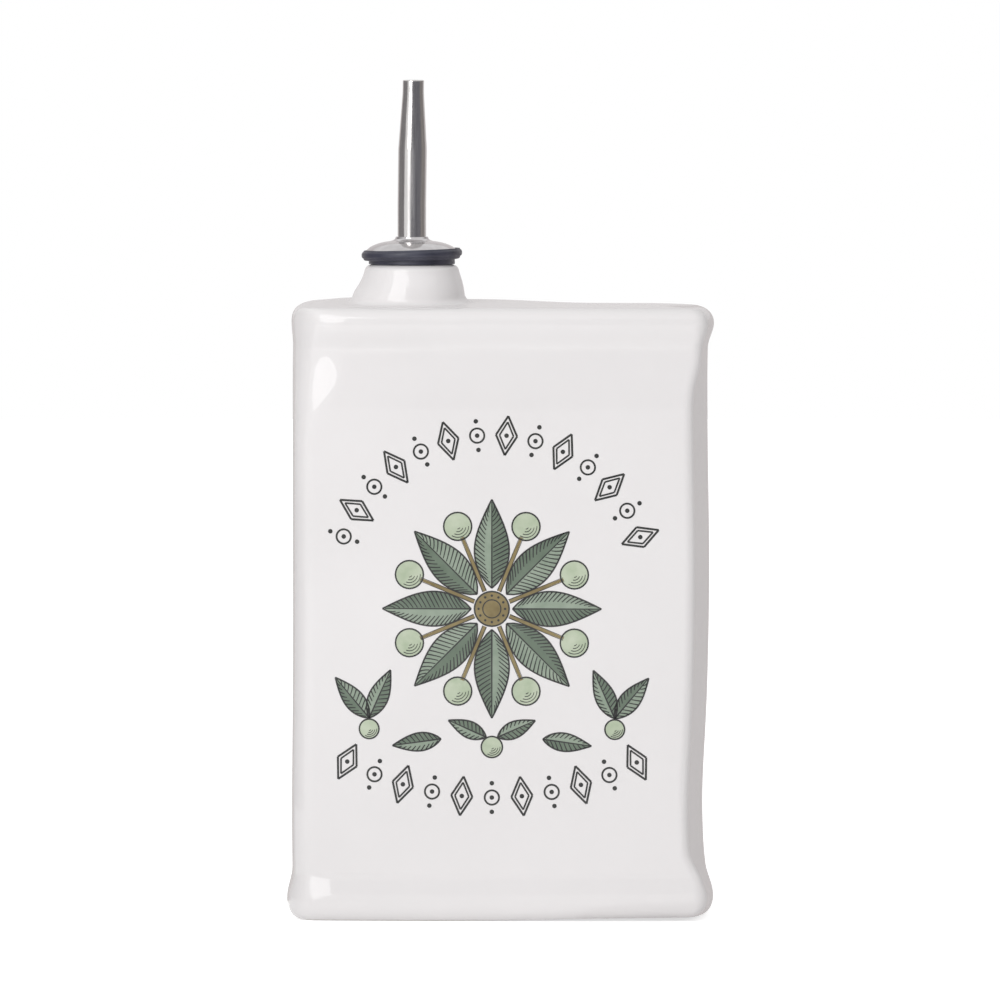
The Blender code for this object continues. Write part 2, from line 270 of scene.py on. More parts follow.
foot = rim_section(0, 1, bulge=4.6 * MM, depth=13.4 * MM, flare=1.7 * MM, edge=5.4 * MM)
shoulder = rim_section(body_height, -1, bulge=4 * MM, depth=11.2 * MM, flare=1.05 * MM, edge=3.6 * MM)
wall_bottom, wall_top = foot[-1][0], shoulder[-1][0]
wall_step = (wall_top - wall_bottom) / WALL_STEPS
wall_levels = [(wall_bottom + wall_step * i, 0, panel_corner) for i in range(1, WALL_STEPS)]
foot_edge = foot[0][1]
ring_inside = foot_edge - foot_ring_width
underside = [
    (recess_depth, ring_inside - 6 * MM, hollow_corner),
    (recess_depth, ring_inside - 0.8 * MM, hollow_corner),
    (recess_depth * 0.8, ring_inside - 0.2 * MM, hollow_corner),
    (recess_depth * 0.3, ring_inside + 0.1 * MM, hollow_corner),
    (0, ring_inside + 0.7 * MM, hollow_corner),
    (0, ring_inside + foot_ring_width / 2, hollow_corner),
    (0, foot_edge - 0.5 * MM, foot[0][2]),
]
body_levels = [(*level, 0, 0) for level in underside + foot + wall_levels + shoulder[::-1]]
print("the foot, the wall and the shoulder have", len(body_levels), "levels")

# %% [markdown]
# The top turns from the bottle's outline into a circle on its way to the neck. The neck is a cone with a
# fillet at its root, a rounded lip and a straight bore. Inside, the hollow follows the outside at the
# wall's thickness, with rounded edges of its own.

# %% The top, the neck and the hollow
def arc_levels(centre_radius, centre_height, radius, start, end, steps=5):
    """Levels along a round edge of the neck, from one angle to another in degrees."""
    angles = [math.radians(start + (end - start) * i / steps) for i in range(steps + 1)]
    return [
        (centre_height + radius * math.sin(a), 0, 0, 1, centre_radius + radius * math.cos(a)) for a in angles
    ]


def hollow_edge_levels(end, inwards, steps=5):
    """The hollow's rounded edge, from its flat end to its wall."""
    levels = []
    for i in range(steps + 1):
        angle = math.radians(90 * i / steps)
        inset = hollow_edge * (1 - math.sin(angle))
        height = end + inwards * hollow_edge * (1 - math.cos(angle))
        levels.append((height, -wall - inset, hollow_corner, 0, 0))
    return levels


fillet_radius = neck_root_radius + fillet
top_reach, top_corner = shoulder[0][1:]
TOP_SHARES = (0.06, 0.2, 0.4, 0.6, 0.8, 0.94)
top_levels = [(body_height, top_reach, top_corner, share, fillet_radius) for share in TOP_SHARES]

neck_levels = arc_levels(fillet_radius, body_height + fillet, fillet, 270, 180)
cone_bottom, cone_top = body_height + fillet, lip_height - lip
for share in (0.25, 0.5, 0.75):
    radius = neck_root_radius + (neck_rim_radius - neck_root_radius) * share
    neck_levels.append((cone_bottom + (cone_top - cone_bottom) * share, 0, 0, 1, radius))
OUTSIDE_LEVELS = len(body_levels + top_levels + neck_levels)
neck_levels += arc_levels(neck_rim_radius - lip, lip_height - lip, lip, 0, 90)
neck_levels += arc_levels(mouth_radius + mouth_lip, lip_height - mouth_lip, mouth_lip, 90, 180)
hollow_top, hollow_floor, bore_flare = body_height - wall, recess_depth + wall, 0.8 * MM
neck_levels += [(h, 0, 0, 1, mouth_radius) for h in (168 * MM, 163 * MM, hollow_top + bore_flare)]
neck_levels.append((hollow_top, 0, 0, 1, mouth_radius + bore_flare))

hollow_reach = -wall - hollow_edge
CEILING_SHARES = (0.75, 0.5, 0.25)
hollow_levels = [(hollow_top, hollow_reach, hollow_corner, share, mouth_radius) for share in CEILING_SHARES]
hollow_levels += hollow_edge_levels(hollow_top, -1)
hollow_middle = (hollow_top + hollow_floor) / 2
for above in (40 * MM, -40 * MM):
    hollow_levels.append((hollow_middle + above, -wall, hollow_corner, 0, 0))
hollow_levels += hollow_edge_levels(hollow_floor, 1)[::-1]

bottle_levels = body_levels + top_levels + neck_levels + hollow_levels
print("the bottle has", len(bottle_levels), "levels,", OUTSIDE_LEVELS, "of them up the outside")

# %% [markdown]
# No casting is true to its mould. On this one the right-hand wall sags in above the foot and swells again
# higher up, and its front edge is set in between the rims. The top rises towards the neck and falls to the
# right, the neck's root leans to the left, and the left front corner is soft. Each such fault is a small
# move of the points round one place, strongest there and fading with distance. All the numbers are
# millimetres: how large the fault is, where it lies and how far it reaches.

# %% How the casting is off true
def fades(value, centre, width):
    """1 at the centre, falling smoothly to nothing some two widths away."""
    return math.exp(-((value - centre) / width) ** 2)


def rises(value, start, end):
    """0 before start, 1 after end, and smooth between."""
    share = min(max((value - start) / (end - start), 0), 1)
    return share * share * (3 - 2 * share)


def casting_move(place):
    """How far a point on the outside of a true bottle is from its place on this one."""
    x, y, z = (value / MM for value in place)
    off_axis = abs(x - neck_x / MM)
    right, left, front = rises(x, 20, 50), rises(-x, 20, 50), rises(-y, 8, 22)
    below_neck = 1 - rises(z, 160, 170)
    move = Vector((0, 0, 0))

    # The right-hand wall swells, sags and spreads, and its front edge is set in between the rims.
    sag = 1.2 * fades(z, 30, 20) * rises(z, 6, 18)
    move.x += right * (0.6 * fades(z, 92, 30) - sag + 0.4 * fades(z, 0.5, 2))
    move.x -= 2.2 * right * rises(-y, -4, 22) * rises(z, 11.5, 17.5) * (1 - rises(z, 139, 149))
    # The left-hand wall spreads low down, and at the table.
    move.x -= left * (0.35 * fades(z, 28, 26) * rises(z, 4, 14) + 0.9 * fades(z, 0, 2.4))
    # The shoulder lies a little to the right, and the sides of the neck's root lean to the left.
    neck_sides = rises(off_axis, 4, 13) * (1 - rises(off_axis, 18, 30))
    move.x += 0.7 * fades(z, 158, 4.5) - 0.9 * neck_sides * fades(z, 164, 3)

    # The foot lifts off the table at the right front, and the top rises towards the neck.
    move.z += 1.2 * rises(x, -20, 62) * front * (1 - rises(z, 2, 16))
    raised = 1 - rises(off_axis, 18, 46) + 0.5 * fades(x, -40, 5) - 0.35 * rises(x, 40, 54)
    move.z += raised * rises(y, -22, 12) * rises(z, 148, 160) * (1 - rises(z, 163.5, 171))

    # The front of the shoulder lies back, less so on the left, and the left front corner is soft.
    move.y += 1.4 * front * rises(z, 135, 151) * below_neck
    move.y -= 0.6 * front * rises(-x, 0, 43) * rises(z, 150, 156) * below_neck
    soft = 0.004 + 0.022 * rises(z, 124, 142) * (1 - rises(z, 160, 164)) + 0.008 * fades(z, 6, 9)
    move.y += front * soft * max(0, 3 * rises(z, 138, 149) - 45 - x) ** 2
    # Its bottom edge is tighter than the other three.
    move.y -= 2.4 * front * (1 - math.sqrt(1 - max(0, 1 - z / 4.6) ** 2))
    return move * MM


corner_move = casting_move(Vector((panel_width / 2, -panel_depth / 2, body_height / 2)))
print("halfway up, the right front corner moves by", [round(value / MM, 2) for value in corner_move], "mm")

# %% Extrude the bottle
shape = bmesh.new()
bmesh.ops.create_circle(shape, segments=RING_COUNT, radius=1 * MM, cap_ends=True)
place_of = shape.verts.layers.int.new("place")
shape.verts.ensure_lookup_table()
for number, point in enumerate(shape.verts):
    point[place_of] = number
ring = shape.edges[:]
for number, (z, reach, corner, roundness, radius) in enumerate(bottle_levels):
    if number:
        made = bmesh.ops.extrude_edge_only(shape, edges=ring)["geom"]
        ring = [part for part in made if isinstance(part, bmesh.types.BMEdge) and part.is_boundary]
    for point in {point for edge in ring for point in edge.verts}:
        flat = Vector((0, 0))
        if roundness < 1:
            flat += (1 - roundness) * on_outline(point[place_of], reach, corner)
        if roundness:
            flat += roundness * on_circle(point[place_of], radius)
        point.co = (*flat, z)
        if number < OUTSIDE_LEVELS:
            point.co += casting_move(point.co)
bmesh.ops.holes_fill(shape, edges=ring, sides=0)
bmesh.ops.recalc_face_normals(shape, faces=shape.faces)
print("the bottle's cage has", len(shape.faces), "faces")

# %% [markdown]
# Every finished shape goes into the scene in the same way: its mesh at the origin, smooth where it is
# round and sharp where it has an edge, with its finish, riding on the body that carries it.

# %% Add a finished piece
SHARP_ANGLE = 40


def new_object(name, shape):
    """Turns a bmesh into an object in the scene, at the origin."""
    mesh = bpy.data.meshes.new(name)
    shape.to_mesh(mesh)
    shape.free()
    thing = bpy.data.objects.new(name, mesh)
    bpy.context.scene.collection.objects.link(thing)
    return thing


def add_piece(name, shape, finish, body, node=None, sharp=True):
    """Makes an object of a bmesh, which rides on a body and may stand for a CAD node."""
    piece = new_object(name, shape)
    piece.data.shade_smooth()
    if sharp:
        piece.data.set_sharp_from_angle(angle=math.radians(SHARP_ANGLE))
    piece.data.materials.append(finish)
    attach(piece, body)
    if node:
        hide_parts(node)
    return piece


bottle = add_piece("glazed_bottle", shape, white_glaze, "bottle", "bottle", sharp=False)
smooth = bottle.modifiers.new("smooth", "SUBSURF")
smooth.levels = smooth.render_levels = 1
print("made", bottle.name)

# %% [markdown]
# ## The decoration
# The front carries a printed medallion under the glaze: a rosette of hatched leaves with berries between
# them, under one arc of beads and over another. Its colours are few, as in a screen print, and each is a
# piece of its own with the gloss of the glaze over it. First come the inks.

# %% Print colours
def new_print(name, low, high):
    """An ink under the glaze, a little uneven where the screen laid less of it."""
    finish, nodes, shader = new_finish(name, Roughness=0.5, **GLOSS)
    shader.inputs["Specular IOR Level"].default_value = BASE_SHINE
    tone = add_ramp(finish, add_noise(finish, scale=260, detail=4), low, high)
    finish.node_tree.links.new(tone, shader.inputs["Base Color"])
    add_relief(finish, shader, add_noise(finish, GLAZE_WAVES, detail=2), GLAZE_WAVE_HEIGHT)
    return finish


inks = {
    "ink": new_print("print_ink", (0.010, 0.011, 0.012), (0.030, 0.031, 0.028)),
    "dark_sage": new_print("print_dark_sage", (0.110, 0.155, 0.108), (0.150, 0.200, 0.146)),
    "mid_sage": new_print("print_mid_sage", (0.235, 0.300, 0.228), (0.320, 0.385, 0.305)),
    "pale_green": new_print("print_pale_green", (0.420, 0.500, 0.350), (0.560, 0.620, 0.480)),
    "ochre": new_print("print_ochre", (0.180, 0.132, 0.046), (0.290, 0.225, 0.095)),
}
prints = {colour: bmesh.new() for colour in inks}
print("the print has", len(prints), "colours")

# %% [markdown]
# The medallion is drawn flat, in millimetres round its middle. Nearly everything in it is a patch: a grid
# whose points are sent to where a function says, given how far along and across each one is. A line is a
# thin patch along a path. A dot is a capped circle.

# %% Patches, lines and dots
def add_patch(colour, columns, rows, spot):
    """A patch of one colour. Where a leaf comes to a point, the grid's points there become one."""
    shape = prints[colour]
    points = bmesh.ops.create_grid(shape, x_segments=columns, y_segments=rows, size=1)["verts"]
    for point in points:
        point.co = (*spot((point.co.x + 1) / 2, (point.co.y + 1) / 2), 0)
    bmesh.ops.remove_doubles(shape, verts=points, dist=0.001)


def add_line(path, width, steps=10, colour="ink", taper=0.0):
    """A line along a path from 0 to 1, thinner towards its end by the share that taper gives."""
    def spot(along, across):
        here, ahead = path(along), path(along + 0.01)
        forward = (ahead - here).normalized()
        side = Vector((-forward.y, forward.x))
        return here + side * (across - 0.5) * width * (1 - taper * along)
    add_patch(colour, steps, 1, spot)


def add_dot(colour, centre, radius):
    bmesh.ops.create_circle(
        prints[colour], cap_ends=True, radius=radius, segments=28, matrix=Matrix.Translation((*centre, 0))
    )


def towards(angle, length=1.0):
    """The way that an angle in degrees points, and so far along it."""
    return Vector((math.cos(math.radians(angle)), math.sin(math.radians(angle)))) * length


def add_circle_line(centre, radius, width, start=0, end=360, taper=0.0):
    add_line(lambda share: centre + towards(start + (end - start) * share, radius), width, 28, taper=taper)

# %% [markdown]
# A leaf is broadest a little before its middle, in two tones, with hatches that slant out to its edges. A
# berry is a pale disc with a few arcs on the side away from the light.

# %% Leaves and berries
LEAF_LINE, HATCH_LINE = 0.42, 0.24
LIGHT_FROM = 120


def add_leaf(root, angle, length, width, tones, hatches):
    """A leaf in two tones, one to each side of its midrib, with an outline and slanting hatches."""
    forward, side = towards(angle), towards(angle + 90)

    def spot(along, across):
        breadth = width / 2 * math.sin(math.pi * min(max(along, 0), 1) ** 0.8)
        return root + forward * length * along + side * breadth * across

    for sign, tone, inner in ((-1, tones[0], 0.08), (1, tones[1], 0.42)):
        add_patch(tone, 16, 2, lambda along, across: spot(along, sign * across))
        add_line(lambda share: spot(share, sign), LEAF_LINE, 18)
        for i in range(hatches):
            start = 0.06 + 0.84 * i / hatches
            add_line(
                lambda share: spot(start + 0.09 * share, sign * (inner + (0.97 - inner) * share)),
                HATCH_LINE, 3, taper=-0.5,
            )
    add_line(lambda share: spot(0.97 * share, 0), LEAF_LINE, 10, taper=0.4)


def add_berry(centre, radius):
    """A berry, with its outline and four arcs of shade."""
    add_dot("pale_green", centre, radius)
    add_circle_line(centre, radius, LEAF_LINE)
    for i in range(4):
        shade, spread = radius * (0.78 - 0.2 * i), 62 - 9 * i
        middle = LIGHT_FROM + 180
        add_circle_line(centre, shade, HATCH_LINE, middle - spread, middle + spread, 0.3)

# %% Draw the rosette
PETALS = 8
ROSETTE = Vector((0, 1))
STALK_START, STALK_LENGTH, STALK_WIDTH = 5, 15.5, 1.1
HEART_RADIUS = 4.6


def on_stalk(angle, share, aside=0.0):
    """A place along a berry's stalk, and so far to one side of its middle."""
    return ROSETTE + towards(angle, STALK_START + STALK_LENGTH * share) + towards(angle + 90, aside)


for i in range(PETALS):
    angle = 90 + 360 / PETALS * i
    tones = ("dark_sage", "mid_sage") if i % 2 == 0 else ("mid_sage", "dark_sage")
    add_leaf(ROSETTE + towards(angle, 5.5), angle, 23.5, 9.2, tones, 17)
    between = angle + 180 / PETALS
    add_line(lambda share: on_stalk(between, share), STALK_WIDTH, colour="ochre", taper=0.35)
    for aside in (-0.5, 0.5):
        add_line(lambda share: on_stalk(between, share, aside), 0.25, taper=0.5)
    add_berry(ROSETTE + towards(between, 23.6), 3.7)
add_dot("ochre", ROSETTE, HEART_RADIUS)
add_circle_line(ROSETTE, HEART_RADIUS, LEAF_LINE)
add_circle_line(ROSETTE, 2.4, 0.3)
for i in range(12):
    add_dot("ink", ROSETTE + towards(30 * i, 3.5), 0.32)
print("the rosette has", sum(len(shape.faces) for shape in prints.values()), "faces")

# %% [markdown]
# Beads run along an arc above the rosette and along a flatter one below it: tall lozenges drawn as two
# thin outlines round a dot, and between them rings, each with a dot in it and one on either side. Over the
# lower arc lies a row of small leaves: a pair on a berry at each end and in the middle, and a single leaf
# between them on each side.

# %% Beads and small leaves
def add_bead(centre, angle, height, width, line):
    """A lozenge, long along the given angle: four straight strokes."""
    long, short = towards(angle, height / 2), towards(angle + 90, width / 2)
    corners = [centre + long, centre + short, centre - long, centre - short]
    for a, b in zip(corners, corners[1:] + corners[:1]):
        add_line(lambda share: a.lerp(b, share), line, 1)


BEAD_PITCH, BEAD_DOT = 7.7, 0.6
UPPER_ARC = (Vector((0, 5)), 42, 69, 90)
LOWER_ARC = (Vector((0, 34)), 83, 27.5, 270)
for hub, radius, half_span, facing in (UPPER_ARC, LOWER_ARC):
    count = round(math.radians(2 * half_span) * radius / BEAD_PITCH)
    for i in range(count + 1):
        angle = facing - half_span + 2 * half_span * i / count
        centre = hub + towards(angle, radius)
        if i % 2 == 0:
            add_bead(centre, angle, 10.4, 5.6, 0.55)
            add_bead(centre, angle, 7.2, 3.7, 0.45)
            add_dot("ink", centre, BEAD_DOT)
        else:
            add_circle_line(centre, 1.9, 0.5)
            for away in (0, -3.8, 3.8):
                add_dot("ink", centre + towards(angle, away), BEAD_DOT)
DARK_LEFT, DARK_RIGHT = ("mid_sage", "dark_sage"), ("dark_sage", "mid_sage")
for sign in (-1, 1):
    stem = Vector((sign * 32.5, -28))
    add_leaf(stem, 90 - sign * 40, 14, 5.2, DARK_LEFT, 10)
    add_leaf(stem, 90 + sign * 24, 14, 5.2, DARK_RIGHT, 10)
    add_berry(stem - Vector((0, 2.9)), 2.6)
    add_leaf(Vector((sign * 13.5, -33.5)), 90 - sign * 98, 13, 4.8, DARK_RIGHT, 9)
    add_leaf(Vector((sign * 1.5, -33)), 90 - sign * 66, 11, 4.4, DARK_RIGHT, 8)
add_berry(Vector((0, -35.6)), 2.8)
print("the whole drawing has", sum(len(shape.faces) for shape in prints.values()), "faces")

# %% [markdown]
# The drawing is then laid on the glaze. Each of its points is shot straight back at the bottle's front
# and stays just proud of where it lands, the ink above the fills, and the whole is given a thickness.

# %% Lay the print on the front
PRINT_MIDDLE = Vector((-1.3, 82))
FILL_PROUD, INK_PROUD, PRINT_SUNK = 0.03 * MM, 0.06 * MM, 0.03 * MM
bpy.context.view_layer.update()
glaze_surface = BVHTree.FromObject(bottle, bpy.context.evaluated_depsgraph_get())
for colour, shape in prints.items():
    proud = INK_PROUD if colour == "ink" else FILL_PROUD
    for point in shape.verts:
        flat = (point.co.xy + PRINT_MIDDLE) * MM
        hit = glaze_surface.ray_cast(Vector((flat.x, -panel_depth, flat.y)), Vector((0, 1, 0)))[0]
        point.co = hit - Vector((0, proud, 0))
    back = bmesh.ops.extrude_face_region(shape, geom=shape.faces[:])["geom"]
    back = [part for part in back if isinstance(part, bmesh.types.BMVert)]
    bmesh.ops.translate(shape, verts=back, vec=(0, proud + PRINT_SUNK, 0))
    bmesh.ops.recalc_face_normals(shape, faces=shape.faces)
    print(colour, "has", len(shape.faces), "faces")
    add_piece("print_" + colour, shape, inks[colour], "bottle")

# %% [markdown]
# ## The pourer
# Every piece of the pourer except its breather is turned, so each is a section spun about the neck's
# axis. A section is drawn as its few corners, and each corner is rounded with a vertex bevel before the
# spin, as a toolmaker would give each corner a radius.

# %% Turn a section
rim = Vector((neck_x, 0, rim_height))
TURN_STEPS = 128


def turned_shape(corners):
    """A ring turned from a closed section of (radius, height above the neck's rim, rounding), in mm."""
    shape = bmesh.new()
    points = [shape.verts.new((radius * MM, 0, height * MM)) for radius, height, rounding in corners]
    for point, after in zip(points, points[1:] + points[:1]):
        shape.edges.new((point, after))
    for point, (radius, height, rounding) in zip(points, corners):
        bmesh.ops.bevel(
            shape, geom=[point], offset=rounding * MM, offset_type="OFFSET", segments=5, profile=0.5,
            affect="VERTICES", clamp_overlap=True, material=-1,
        )
    section = shape.verts[:] + shape.edges[:]
    bmesh.ops.spin(
        shape, geom=section, cent=(0, 0, 0), axis=(0, 0, 1), angle=math.radians(360), steps=TURN_STEPS,
        use_merge=True,
    )
    bmesh.ops.recalc_face_normals(shape, faces=shape.faces)
    bmesh.ops.translate(shape, verts=shape.verts, vec=rim)
    return shape


def above_rim(point):
    return (point.co.z - rim.z) / MM

# %% [markdown]
# The stopper's flange has a shallow bed for the dome and a round edge, its seat stands on the neck's lip,
# and its plug carries four fins. The soft flange sits a little askew.

# %% The rubber stopper
tube_radius, sleeve, plug, fin = 3.8, 4.25, 6.15, 8.45
bed = [(sleeve, 3.3, 0.15), (12.4, 3.3, 0.15), (12.42, 4.25, 0.12)]
flange_edge = [
    (12.8, 4.25, 0.15), (12.95, 3.85, 0.1), (13.1, 3.85, 0.1), (13.4, 3.4, 0.25),
    (13.4, 2.55, 0.3), (13.1, 2.2, 0.1), (12.95, 2.2, 0.1), (12.75, 1.65, 0.15),
]
seat = [(12.4, 1.5, 0.1), (11.45, 1.4, 0.1), (11.5, 0.35, 0.2), (plug, 0.3, 0.2)]
fins = []
for height in (-2.6, -6.33, -10.07, -13.8):
    fins += [(plug, height + 0.8, 0.2), (fin, height + 0.35, 0.2)]
    fins += [(fin, height - 0.35, 0.2), (plug, height - 0.8, 0.2)]
plug_end = [(plug, -15.8, 0.3), (4.95, -17, 0.2), (sleeve, -17, 0.1)]
stopper = turned_shape(bed + flange_edge + seat + fins + plug_end)
FLANGE_TILT = math.tan(math.radians(1.7))
for point in stopper.verts:
    point.co.z += (point.co.x - rim.x) * FLANGE_TILT * rises(above_rim(point), 0.3, 2)
print("the stopper has", len(stopper.faces), "faces")
add_piece("rubber_stopper", stopper, black_rubber, "stopper", "stopper")

# %% [markdown]
# The spout is one tube: tapered at its tip, straight down through the stopper, and flared under the plug,
# which is what holds the rubber on. It leans a little to the right above the dome, and a cut round it there
# gives it a ring of points to lean from.

# %% The steel spout
tube_wall, tip_radius, tip_start, taper_start, tip = 0.35, 2.83, 46, 31, 49.3
bore = tube_radius - tube_wall
flare, flare_top, flare_bottom = 5.45, -17.3, -17.9
shape = turned_shape([
    (tip_radius, tip, 0.4), (tip_radius, tip_start, 1), (tube_radius, taper_start, 0.5),
    (tube_radius, flare_top, 0.2), (flare, flare_top, 0.2), (flare, flare_bottom, 0.2),
    (bore, flare_bottom, 0.2), (bore, taper_start, 0.5),
    (tip_radius - tube_wall, tip_start, 1), (tip_radius - tube_wall, tip, 0.1),
])
bmesh.ops.bisect_plane(
    shape, geom=shape.verts[:] + shape.edges[:] + shape.faces[:], dist=1e-6,
    plane_co=rim + Vector((0, 0, 16)) * MM, plane_no=(0, 0, 1),
)
SPOUT_LEAN, LEAN_START = 0.013, 15
for point in shape.verts:
    point.co.x += SPOUT_LEAN * max(0, above_rim(point) - LEAN_START) * MM
spout = add_piece("steel_spout", shape, satin_steel, "spout", "spout_tube")
print("the pourer stands", tip, "mm above the rim of the neck")

# %% The polished dome
shape = turned_shape([
    (tube_radius, 7.6, 0.1), (4.3, 7.6, 0.15), (4.5, 6.95, 0.3), (5.4, 6.5, 0.5), (7.2, 6.25, 1),
    (9.6, 5.7, 2), (11.6, 4.6, 1.2), (12.1, 3.95, 0.12), (11.7, 3.85, 0.05), (11.2, 4.35, 0.8),
    (9.4, 5.3, 1.5), (7.2, 5.85, 1), (5.2, 6.1, 0.4), (tube_radius, 6.2, 0.05),
])
print("the dome has", len(shape.faces), "faces")
add_piece("steel_dome", shape, polished_steel, "spout", "spout_dome")

# %% [markdown]
# ## The breather
# The breather is a thin steel tube from an air hole in the back of the spout, round a bend and down inside
# the bore into the bottle. Its two skins are rings spun round the bend and then extruded straight down,
# joined at both ends.

# %% The breather tube
breather_radius, breather_wall, breather_end = 1.2, 0.45, -43.9
hole_height, hole_depth, breather_offset = 10.9, 3.95, 2.05
bend_radius = hole_depth - breather_offset
BREATHER_STEPS, BEND_STEPS, DROP_STEPS = 32, 10, 6
FACING_BACK = Matrix.Rotation(math.pi / 2, 4, "X")


def add_skin(shape, radius):
    """One skin of the breather. Returns its ring at the air hole and its ring at the lower end."""
    hole = rim + Vector((0, hole_depth, hole_height)) * MM
    made = bmesh.ops.create_circle(
        shape, segments=BREATHER_STEPS, radius=radius * MM, matrix=Matrix.Translation(hole) @ FACING_BACK
    )["verts"]
    first = list({edge for point in made for edge in point.link_edges})
    centre = hole - Vector((0, 0, bend_radius)) * MM
    made = bmesh.ops.spin(
        shape, geom=made + first, cent=centre, axis=(1, 0, 0), angle=math.pi / 2, steps=BEND_STEPS
    )
    ring = [part for part in made["geom_last"] if isinstance(part, bmesh.types.BMEdge)]
    drop = (breather_end - (hole_height - bend_radius)) * MM / DROP_STEPS
    for i in range(DROP_STEPS):
        made = bmesh.ops.extrude_edge_only(shape, edges=ring)["geom"]
        ring = [part for part in made if isinstance(part, bmesh.types.BMEdge) and part.is_boundary]
        points = [part for part in made if isinstance(part, bmesh.types.BMVert)]
        bmesh.ops.translate(shape, verts=points, vec=(0, 0, drop))
    return first, ring


shape = bmesh.new()
outer, inner = add_skin(shape, breather_radius), add_skin(shape, breather_radius - breather_wall)
for outer_ring, inner_ring in zip(outer, inner):
    bmesh.ops.bridge_loops(shape, edges=outer_ring + inner_ring)
bmesh.ops.recalc_face_normals(shape, faces=shape.faces)
low = min(point.co.z for point in shape.verts)
print("the breather ends", round(low / MM, 1), "mm above the table; open edges:",
      sum(edge.is_boundary for edge in shape.edges))
add_piece("breather", shape, satin_steel, "spout", "breather_tube")

# %% [markdown]
# The air hole is cut through the back of the spout with a boolean, so that it is open to see and the
# breather's end lies in it.

# %% The air hole
air_hole_radius = 1.5
shape = bmesh.new()
bmesh.ops.create_cone(
    shape, segments=48, radius1=air_hole_radius * MM, radius2=air_hole_radius * MM, depth=5 * MM,
    cap_ends=True, matrix=Matrix.Translation(rim + Vector((0, 4, hole_height)) * MM) @ FACING_BACK,
)
cutter = new_object("air_hole_cutter", shape)
cut = spout.modifiers.new("air_hole", "BOOLEAN")
cut.object, cut.operation, cut.solver = cutter, "DIFFERENCE", "EXACT"
bpy.context.view_layer.update()
bored = bpy.data.meshes.new_from_object(spout.evaluated_get(bpy.context.evaluated_depsgraph_get()))
spout.modifiers.clear()
spout.data = bored
bpy.data.objects.remove(cutter)
print("the spout has", len(bored.polygons), "faces with its air hole")

# %% [markdown]
# ## Studio
# The decanter stands on a pale floor that runs out into a white background. One large softbox stands to
# the left of the camera and above it, and an even sky fills the rest. The floor glows a little, more so
# away from the object, but only for the camera and for reflections. So the background comes out white, the
# glow puts no light on the object, and the floor keeps its shadow.

# %% Floor and background
FLOOR_RADIUS = 3.0
SEEN = ("Is Camera Ray", "Is Glossy Ray", "Is Transmission Ray")
shape = bmesh.new()
bmesh.ops.create_circle(shape, segments=96, radius=FLOOR_RADIUS, cap_ends=True)
floor = new_object("floor", shape)


def add_seen(nodes, links):
    """1 for the kinds of ray that see the background, and 0 for the light on the object."""
    rays = nodes.new("ShaderNodeLightPath")
    value = rays.outputs[SEEN[0]]
    for kind in SEEN[1:]:
        either = nodes.new("ShaderNodeMath")
        either.operation = "MAXIMUM"
        links.new(value, either.inputs[0])
        links.new(rays.outputs[kind], either.inputs[1])
        value = either.outputs["Value"]
    return value


paper, nodes, shader = new_finish("paper", Base_Color=(0.95, 0.95, 0.95, 1), Roughness=0.9)
shader.inputs["Specular IOR Level"].default_value = 0
links = paper.node_tree.links
place = nodes.new("ShaderNodeTexCoord")
distance = nodes.new("ShaderNodeVectorMath")
distance.operation = "LENGTH"
links.new(place.outputs["Object"], distance.inputs[0])
glow = nodes.new("ShaderNodeMapRange")
for socket, value in (("From Min", 0.05), ("From Max", 0.4), ("To Min", 0.60), ("To Max", 0.66)):
    glow.inputs[socket].default_value = value
links.new(distance.outputs["Value"], glow.inputs["Value"])
strength = nodes.new("ShaderNodeMath")
strength.operation = "MULTIPLY"
links.new(glow.outputs["Result"], strength.inputs[0])
links.new(add_seen(nodes, links), strength.inputs[1])
shader.inputs["Emission Color"].default_value = (1, 1, 1, 1)
links.new(strength.outputs["Value"], shader.inputs["Emission Strength"])
floor.data.materials.append(paper)
print("the floor is", 2 * FLOOR_RADIUS, "m across")

# %% An even sky
SKY_LIGHT = 0.56
world = bpy.data.worlds.new("studio")
world.use_nodes = True
bpy.context.scene.world = world
nodes, links = world.node_tree.nodes, world.node_tree.links
sky = nodes.new("ShaderNodeMapRange")
sky.inputs["To Min"].default_value = SKY_LIGHT
links.new(add_seen(nodes, links), sky.inputs["Value"])
background = nodes["Background"]
background.inputs["Color"].default_value = (1, 1, 1, 1)
links.new(sky.outputs["Result"], background.inputs["Strength"])
print("the sky lights the object at", SKY_LIGHT)

# %% [markdown]
# Glaze and steel look like what they reflect. In a studio that is the white sweep, and beside it the dark
# gaps between the lamps, the greyer far side of the room and the table behind. Cards bent round the object
# stand for those: they show only in reflections, so they take no light away, and the camera doesn't see
# them. The shade on the left is the other way round: it only dims the sky's light there, so that the left
# edge turns grey.

# %% Cards that show in reflections
RAY_KINDS = ("camera", "diffuse", "glossy", "shadow", "volume_scatter", "transmission")


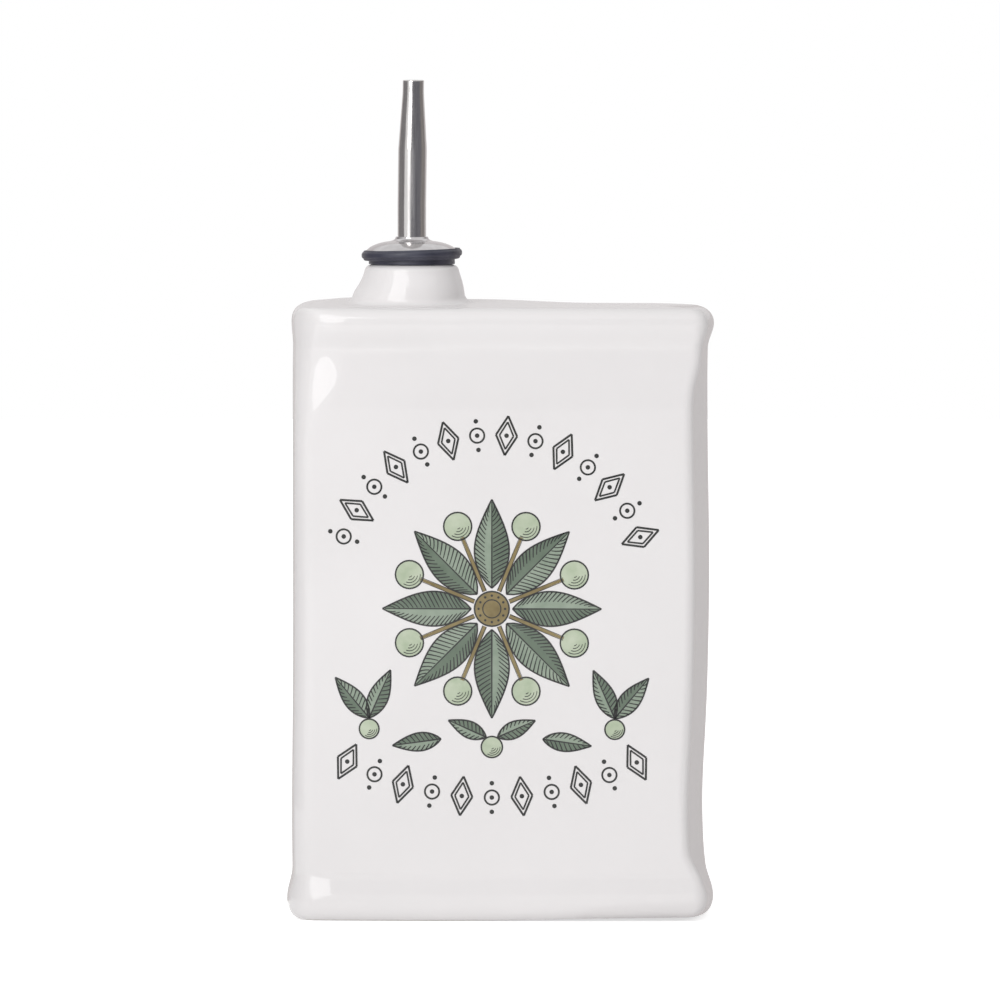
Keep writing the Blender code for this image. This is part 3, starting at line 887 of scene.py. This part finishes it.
def add_card(name, azimuths, heights, radius, colour, apron=0, shown_to="glossy"):
    """A card bent round the object between two azimuths. Its apron lies inwards on the floor."""
    (start, end), (bottom, top) = azimuths, heights
    shape = bmesh.new()
    points = [shape.verts.new((0, -radius, height)) for height in (top, bottom)]
    shape.edges.new(points)
    if apron:
        points.append(shape.verts.new((0, apron - radius, bottom)))
        shape.edges.new(points[1:])
    bmesh.ops.rotate(shape, verts=shape.verts, matrix=Matrix.Rotation(math.radians(start), 3, "Z"))
    bmesh.ops.spin(
        shape, geom=shape.verts[:] + shape.edges[:], cent=(0, 0, 0), axis=(0, 0, 1),
        angle=math.radians(end - start), steps=24,
    )
    card = new_object(name, shape)
    finish, nodes, shader = new_finish(name, Base_Color=(0, 0, 0, 1), Emission_Strength=1.0)
    shader.inputs["Emission Color"].default_value = (*colour, 1)
    shader.inputs["Specular IOR Level"].default_value = 0
    card.data.materials.append(finish)
    for kind in RAY_KINDS:
        setattr(card, f"visible_{kind}", kind == shown_to)
    print(name, "spans", end - start, "degrees")


GREY_TABLE = (0.58, 0.54, 0.535)
add_card("dark_gap_middle", (-14, 14), (0.15, 0.4), 0.4, (0.21, 0.21, 0.23))
add_card("dark_gap_right", (14, 78), (0, 0.4), 0.4, (0.20, 0.20, 0.22))
add_card("dim_side_right", (78, 130), (0, 0.4), 0.41, (0.32, 0.30, 0.29))
add_card("dark_gap_left", (-128, -64), (0, 0.4), 0.4, (0.28, 0.27, 0.275))
add_card("shade_left", (-128, -60), (0, 0.11), 0.3, (0.15, 0.15, 0.15), shown_to="diffuse")
add_card("pale_room_back", (130, 254), (0.16, 0.42), 0.42, (0.76, 0.73, 0.73))
add_card("grey_table_back", (60, 254), (0.001, 0.165), 0.13, GREY_TABLE, apron=0.1)
add_card("grey_table_right", (40, 60), (0.001, 0.002), 0.13, GREY_TABLE, apron=0.1)

# %% [markdown]
# ## Camera
# The photograph was taken from far away with a long lens, from a little to the right of the front and
# slightly above, so the sides hardly narrow with distance.

# %% Camera
CAMERA_AZIMUTH, CAMERA_ELEVATION, CAMERA_DISTANCE = 2.2, 3, 2.6
AIM = Vector((-0.1, 0, 110.5)) * MM


def direction(azimuth, elevation):
    """From the object towards a place round it. Azimuth 0 is in front, and 90 to the right."""
    a, e = math.radians(azimuth), math.radians(elevation)
    return Vector((math.sin(a) * math.cos(e), -math.cos(a) * math.cos(e), math.sin(e)))


def aim_from(thing, azimuth, elevation, distance):
    """Puts a camera or a lamp in the scene, where it faces the object from a distance."""
    bpy.context.scene.collection.objects.link(thing)
    away = direction(azimuth, elevation) * distance
    thing.location = AIM + away
    thing.rotation_mode = "QUATERNION"
    thing.rotation_quaternion = (-away).to_track_quat("-Z", "Y")


lens = bpy.data.cameras.new("camera")
lens.lens, lens.sensor_width, lens.clip_start, lens.clip_end = 351, 36, 0.1, 20
camera = bpy.data.objects.new("camera", lens)
aim_from(camera, CAMERA_AZIMUTH, CAMERA_ELEVATION, CAMERA_DISTANCE)
bpy.context.scene.camera = camera
bpy.context.scene.view_settings.view_transform = "Standard"
print("the camera stands", CAMERA_DISTANCE, "m away, with a lens of", lens.lens, "mm")

# %% Softbox
SOFTBOX_AZIMUTH, SOFTBOX_ELEVATION, SOFTBOX_DISTANCE = -25.4, 27, 1.5
softbox = bpy.data.lights.new("softbox", "AREA")
softbox.shape = "ELLIPSE"
softbox.size, softbox.size_y, softbox.energy = 0.95, 1.25, 10.1
aim_from(bpy.data.objects.new("softbox", softbox), SOFTBOX_AZIMUTH, SOFTBOX_ELEVATION, SOFTBOX_DISTANCE)
print("the softbox gives", round(softbox.energy, 1), "W")
